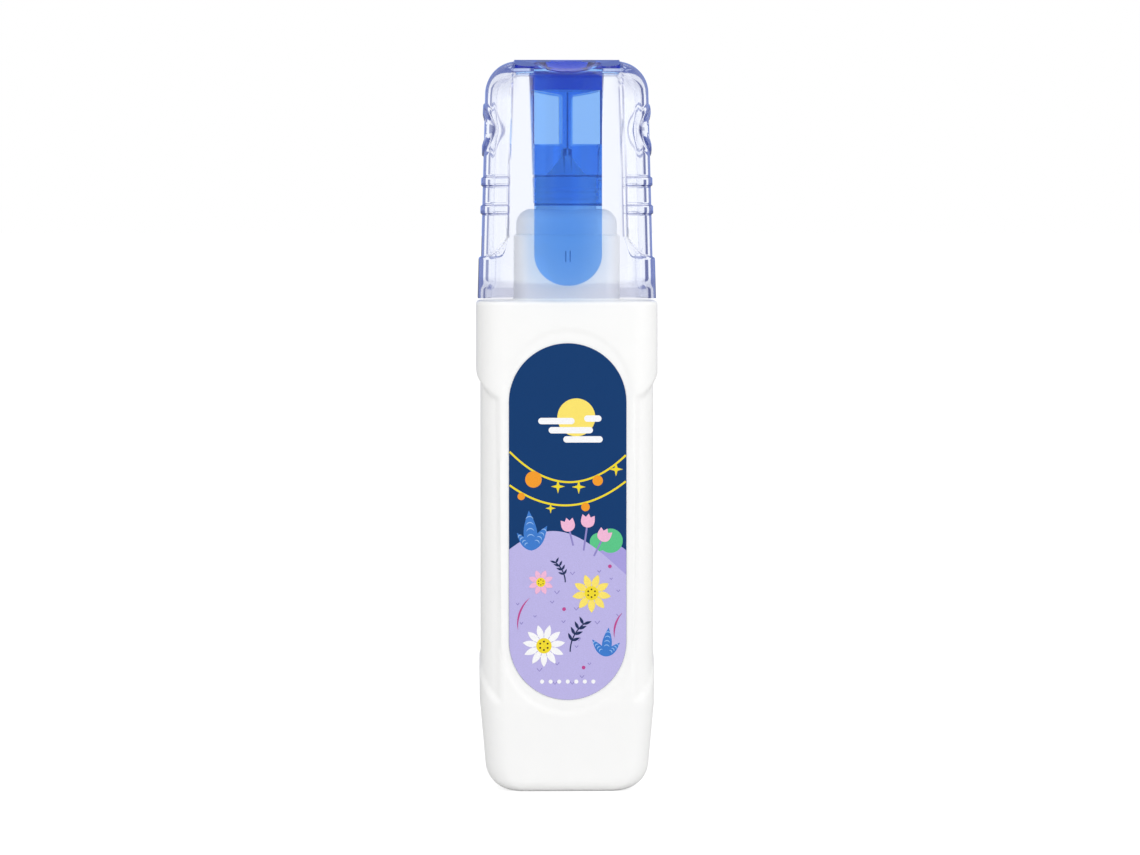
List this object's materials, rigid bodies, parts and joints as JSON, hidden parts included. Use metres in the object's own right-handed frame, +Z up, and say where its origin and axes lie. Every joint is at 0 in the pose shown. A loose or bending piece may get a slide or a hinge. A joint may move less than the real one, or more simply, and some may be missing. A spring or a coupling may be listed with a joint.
{
  "type": "correction fluid bottle",
  "caption": "Flat white squeeze bottle with a spring needle valve under a clear pull-off cap with a blue pocket clip, and a stadium-shaped label",
  "frame": {"origin": "centre of the base, on the surface that the bottle stands on", "axes": "+Z up the bottle to the cap, +Y to the back, so the label and the clip face -Y, +X to the viewer's right"},
  "size_m": [0.0296, 0.0191, 0.12],
  "materials": {
    "white_bottle": "satin",
    "label_film": "gloss",
    "white_plug": "satin",
    "plated_tip": "polished",
    "steel_needle": "satin",
    "spring_steel": "satin",
    "cage_plastic": "satin",
    "ball_steel": "polished",
    "white_fluid": "gloss",
    "clear_cap": "gloss",
    "blue_insert": "gloss"
  },
  "bodies": {
    "bottle": {"bottle_shell": "white_bottle", "front_label": "label_film", "nozzle_plug": "white_plug", "metal_tip": "plated_tip", "spring_cage": "cage_plastic", "valve_spring": "spring_steel", "mixing_ball": "ball_steel", "correction_fluid": "white_fluid"},
    "needle": {"valve_needle": "steel_needle"},
    "cap": {"cap_shell": "clear_cap", "cap_insert": "blue_insert"}
  },
  "joints": [
    {"name": "cap_pull", "type": "slide", "parent": "bottle", "child": "cap", "axis": [0, 0, 1], "range_m": [0, 0.045]},
    {"name": "needle_press", "type": "slide", "parent": "bottle", "child": "needle", "axis": [0, 0, -1], "range_m": [0, 0.0004], "stiffness_N_per_m": 300, "springref_m": -0.001, "deforming": ["valve_spring"]}
  ]
}
